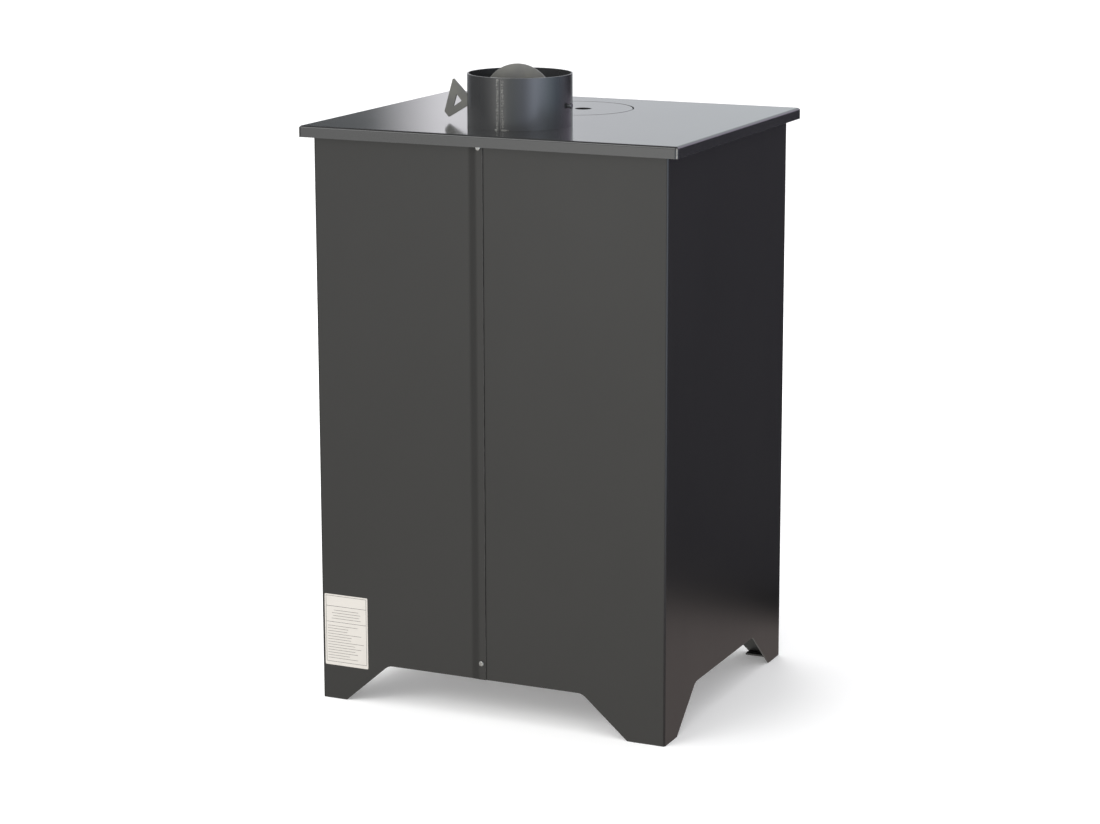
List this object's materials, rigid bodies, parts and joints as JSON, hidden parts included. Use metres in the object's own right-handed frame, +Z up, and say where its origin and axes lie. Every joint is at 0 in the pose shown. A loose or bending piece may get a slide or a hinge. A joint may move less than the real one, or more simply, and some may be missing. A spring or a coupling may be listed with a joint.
{
  "type": "wood-burning stove with oven",
  "caption": "Free-standing sheet-steel wood stove on cut-out skirt feet, with a flush hob lid, a damper collar, a glazed fire door, an oven above it and an ash drawer.",
  "frame": {"origin": "on the floor under the middle of the part's overall box", "axes": "+Z up, -Y out of the doors, +Y towards the flue collar, +X to the right of someone facing the doors"},
  "size_m": [0.581, 0.535, 0.937],
  "materials": {
    "casing_paint": "matt anthracite stove paint with a faint sheen",
    "front_paint": "matt anthracite stove paint",
    "hob_paint": "satin graphite heat-resistant paint",
    "collar_paint": "satin graphite heat-resistant paint over a welded seam",
    "damper_steel": "bare sheet, dull grey",
    "bare_steel": "hot-rolled sheet, dull",
    "bright_steel": "zinc-plated",
    "hinge_steel": "black painted steel",
    "handle_steel": "brushed steel",
    "oven_enamel": "dark vitreous enamel",
    "grate_iron": "rough sand-cast",
    "fire_lining": "pressed vermiculite firebrick, dry and chalky",
    "door_glass": "clear heat-resistant glass ceramic",
    "rope_seal": "dark glass-fibre rope",
    "grip_plastic": "black phenolic",
    "label_white": "plain white",
    "bezel_chrome": "polished",
    "pointer_red": "red enamel"
  },
  "bodies": {
    "stove": {"casing_shell_right": "casing_paint", "casing_shell_left": "casing_paint", "casing_seam_screws": "bright_steel", "rating_label": "label_white", "front_panel": "front_paint", "top_plate": "hob_paint", "lid_seat_ring": "bare_steel", "flue_collar": "collar_paint", "body_side_right": "bare_steel", "body_side_left": "bare_steel", "body_back": "bare_steel", "body_floor": "bare_steel", "firebox_floor": "bare_steel", "grate": "grate_iron", "firebrick_right": "fire_lining", "firebrick_left": "fire_lining", "firebrick_back": "fire_lining", "log_retainer": "bare_steel", "oven_box": "oven_enamel", "oven_heat_shield": "bare_steel", "oven_rails": "bright_steel", "oven_shelf": "bright_steel", "drawer_runners": "bare_steel", "oven_hinge_brackets": "hinge_steel", "firebox_hinge_brackets": "hinge_steel", "oven_latch_keeper": "bare_steel", "firebox_latch_keeper": "bare_steel"},
    "hob_lid": {"hotplate_lid": "hob_paint"},
    "damper": {"damper_spindle": "bare_steel", "damper_disc": "damper_steel", "damper_straps": "damper_steel", "damper_handle": "damper_steel"},
    "oven_door": {"oven_door_shell": "front_paint", "oven_door_liner": "bare_steel", "oven_door_glass": "door_glass", "oven_glass_clips": "bright_steel", "oven_door_gasket": "rope_seal", "oven_hinge_barrels": "hinge_steel", "thermometer_case": "bezel_chrome", "thermometer_dial": "label_white", "thermometer_lens": "door_glass"},
    "oven_latch": {"oven_door_handle": "handle_steel", "oven_handle_grip": "grip_plastic", "oven_latch_cam": "bare_steel"},
    "thermometer_pointer": {"thermometer_needle": "pointer_red"},
    "firebox_door": {"firebox_door_shell": "front_paint", "firebox_door_liner": "bare_steel", "firebox_door_glass": "door_glass", "firebox_glass_clips": "bright_steel", "firebox_door_gasket": "rope_seal", "firebox_hinge_barrels": "hinge_steel"},
    "firebox_latch": {"firebox_door_handle": "handle_steel", "firebox_handle_grip": "grip_plastic", "firebox_latch_cam": "bare_steel"},
    "ash_drawer": {"ash_drawer_box": "bright_steel", "ash_drawer_front": "front_paint", "ash_drawer_handle": "handle_steel", "air_slider_guides": "handle_steel"},
    "air_shutter": {"air_slider": "handle_steel"}
  },
  "joints": [
    {"name": "hob_lid_lift", "type": "slide", "parent": "stove", "child": "hob_lid", "axis": [0, 0, 1], "range_m": [0, 0.06]},
    {"name": "damper_turn", "type": "hinge", "parent": "stove", "child": "damper", "pos_m": [0.007, 0.129, 0.88], "axis": [1, 0, 0], "range_deg": [0, 90]},
    {"name": "oven_door_swing", "type": "hinge", "parent": "stove", "child": "oven_door", "pos_m": [-0.215, -0.2195, 0.635], "axis": [0, 0, -1], "range_deg": [0, 110]},
    {"name": "oven_latch_turn", "type": "hinge", "parent": "oven_door", "child": "oven_latch", "pos_m": [0.158, -0.2295, 0.635], "axis": [0, -1, 0], "range_deg": [0, 70]},
    {"name": "thermometer_pointer_turn", "type": "hinge", "parent": "oven_door", "child": "thermometer_pointer", "pos_m": [0, -0.234, 0.761], "axis": [0, 1, 0], "range_deg": [0, 270]},
    {"name": "firebox_door_swing", "type": "hinge", "parent": "stove", "child": "firebox_door", "pos_m": [-0.215, -0.2195, 0.325], "axis": [0, 0, -1], "range_deg": [0, 110]},
    {"name": "firebox_latch_turn", "type": "hinge", "parent": "firebox_door", "child": "firebox_latch", "pos_m": [0.158, -0.2295, 0.325], "axis": [0, -1, 0], "range_deg": [0, 70]},
    {"name": "ash_drawer_slide", "type": "slide", "parent": "stove", "child": "ash_drawer", "axis": [0, -1, 0], "range_m": [0, 0.3]},
    {"name": "air_shutter_slide", "type": "slide", "parent": "ash_drawer", "child": "air_shutter", "axis": [1, 0, 0], "range_m": [0, 0.0275]}
  ]
}
